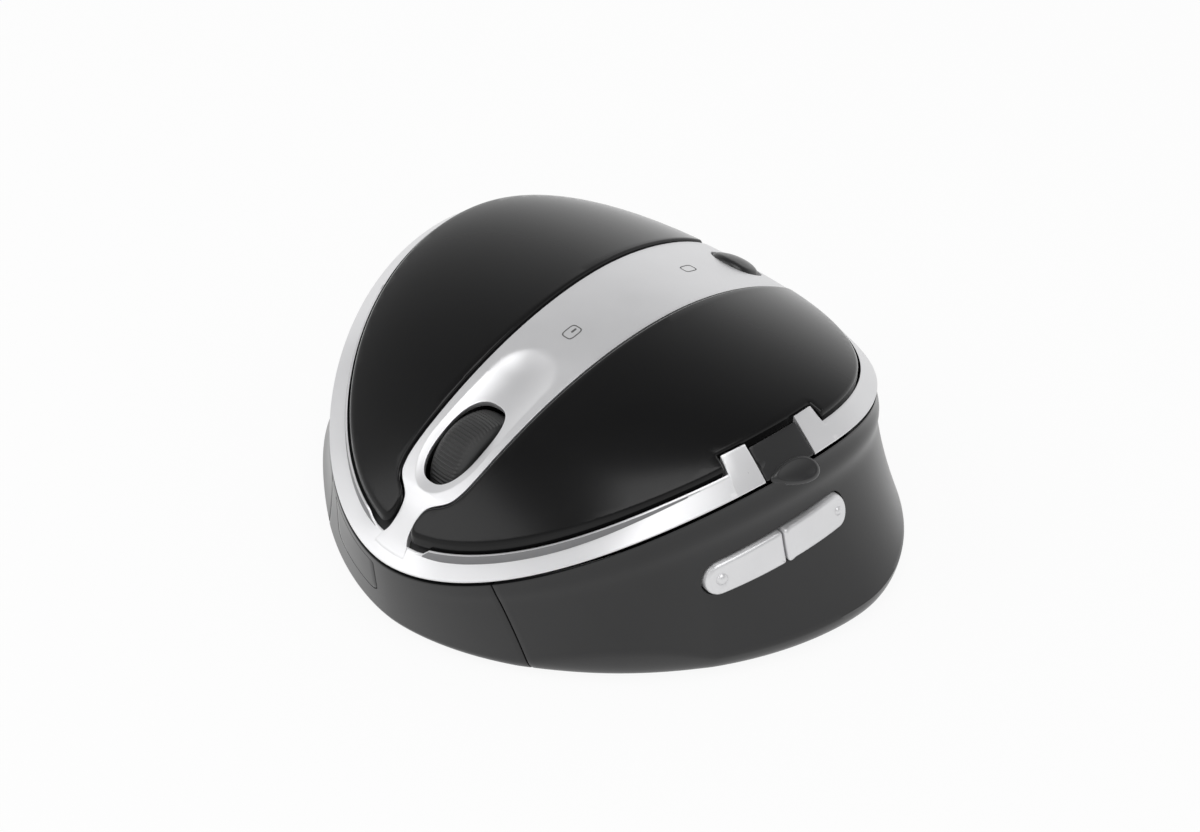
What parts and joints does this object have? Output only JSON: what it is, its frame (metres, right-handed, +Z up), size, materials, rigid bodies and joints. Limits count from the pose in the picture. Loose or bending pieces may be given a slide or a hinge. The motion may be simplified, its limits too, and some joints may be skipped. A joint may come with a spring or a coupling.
{
  "type": "ergonomic computer mouse",
  "caption": "Domed ergonomic mouse whose top, with two click shells, a scroll wheel and a silver spine, tilts up on a side hinge above a flared soft-touch base with thumb keys and a catch",
  "frame": {"origin": "centre of the bounding box in plan, at the underside of the glide feet", "axes": "+Y is the wheel end, +X the user's right hand side, +Z up; the thumb keys and the catch are on the -X side"},
  "size_m": [0.1238, 0.1105, 0.0447],
  "materials": {
    "base_grip": "dark grey soft-touch moulded plastic",
    "inner_plastic": "plain dark moulded plastic",
    "steel": "plated steel",
    "glide": "low-friction glide pads",
    "lens": "clear moulded lens",
    "chip": "black moulded plastic",
    "board": "circuit board",
    "silver": "satin silver paint on plastic",
    "shell_black": "satin black moulded plastic",
    "tyre": "black rubber with fine cross ribs"
  },
  "bodies": {
    "base": {"base_front": "base_grip", "base_left": "base_grip", "base_right": "base_grip", "front_flap": "base_grip", "base_deck": "inner_plastic", "bottom_plate": "inner_plastic", "base_screws": "steel", "glide_feet": "glide", "sensor_lens": "lens", "sensor_chip": "chip", "main_board": "board", "battery_cradle": "inner_plastic", "battery_cells": "steel", "hinge_leaf": "steel"},
    "hatch": {"battery_hatch": "inner_plastic"},
    "power_switch": {"power_slider": "chip"},
    "upper": {"trim_ring": "silver", "spine": "silver", "upper_tray": "inner_plastic", "tray_screws": "steel", "click_switches": "chip", "hinge_pins": "steel"},
    "left_button": {"left_shell": "shell_black"},
    "right_button": {"right_shell": "shell_black"},
    "carrier": {"wheel_carrier": "inner_plastic"},
    "wheel": {"wheel_axle": "steel", "wheel_hub": "chip", "wheel_tyre": "tyre"},
    "rear_button": {"rear_key": "base_grip"},
    "front_thumb_button": {"front_thumb_key": "silver"},
    "rear_thumb_button": {"rear_thumb_key": "silver"},
    "latch": {"thumb_catch": "base_grip"}
  },
  "joints": [
    {"name": "tilt", "type": "hinge", "parent": "base", "child": "upper", "pos_m": [0.0456, -0.00573, 0.0369], "axis": [0, 1, 0], "range_deg": [0, 45]},
    {"name": "left_click", "type": "hinge", "parent": "upper", "child": "left_button", "pos_m": [-0.025, -0.04025, 0.033], "axis": [-1, 0, 0], "range_deg": [0, 0.6], "stiffness_Nm_per_rad": 6},
    {"name": "right_click", "type": "hinge", "parent": "upper", "child": "right_button", "pos_m": [0.025, -0.04025, 0.033], "axis": [-1, 0, 0], "range_deg": [0, 0.6], "stiffness_Nm_per_rad": 6},
    {"name": "wheel_click", "type": "slide", "parent": "upper", "child": "carrier", "axis": [0, 0, -1], "range_m": [0, 0.0006], "stiffness_N_per_m": 900},
    {"name": "wheel_spin", "type": "hinge", "parent": "carrier", "child": "wheel", "pos_m": [0, 0.03083, 0.02637], "axis": [1, 0, 0], "continuous": true},
    {"name": "rear_click", "type": "slide", "parent": "upper", "child": "rear_button", "axis": [0, 0.4868, -0.8735], "range_m": [0, 0.0008], "stiffness_N_per_m": 700},
    {"name": "front_thumb_press", "type": "slide", "parent": "base", "child": "front_thumb_button", "axis": [0.9877, -0.1564, 0], "range_m": [0, 0.0008], "stiffness_N_per_m": 700},
    {"name": "rear_thumb_press", "type": "slide", "parent": "base", "child": "rear_thumb_button", "axis": [0.9877, -0.1564, 0], "range_m": [0, 0.0008], "stiffness_N_per_m": 700},
    {"name": "catch_swing", "type": "hinge", "parent": "upper", "child": "latch", "pos_m": [-0.0448, 0.00015, 0.0368], "axis": [0, 1, 0], "range_deg": [0, 14], "stiffness_Nm_per_rad": 0.02},
    {"name": "hatch_drop", "type": "slide", "parent": "base", "child": "hatch", "axis": [0, 0, -1], "range_m": [0, 0.006]},
    {"name": "power_slide", "type": "slide", "parent": "base", "child": "power_switch", "axis": [1, 0, 0], "range_m": [0, 0.0036]}
  ]
}
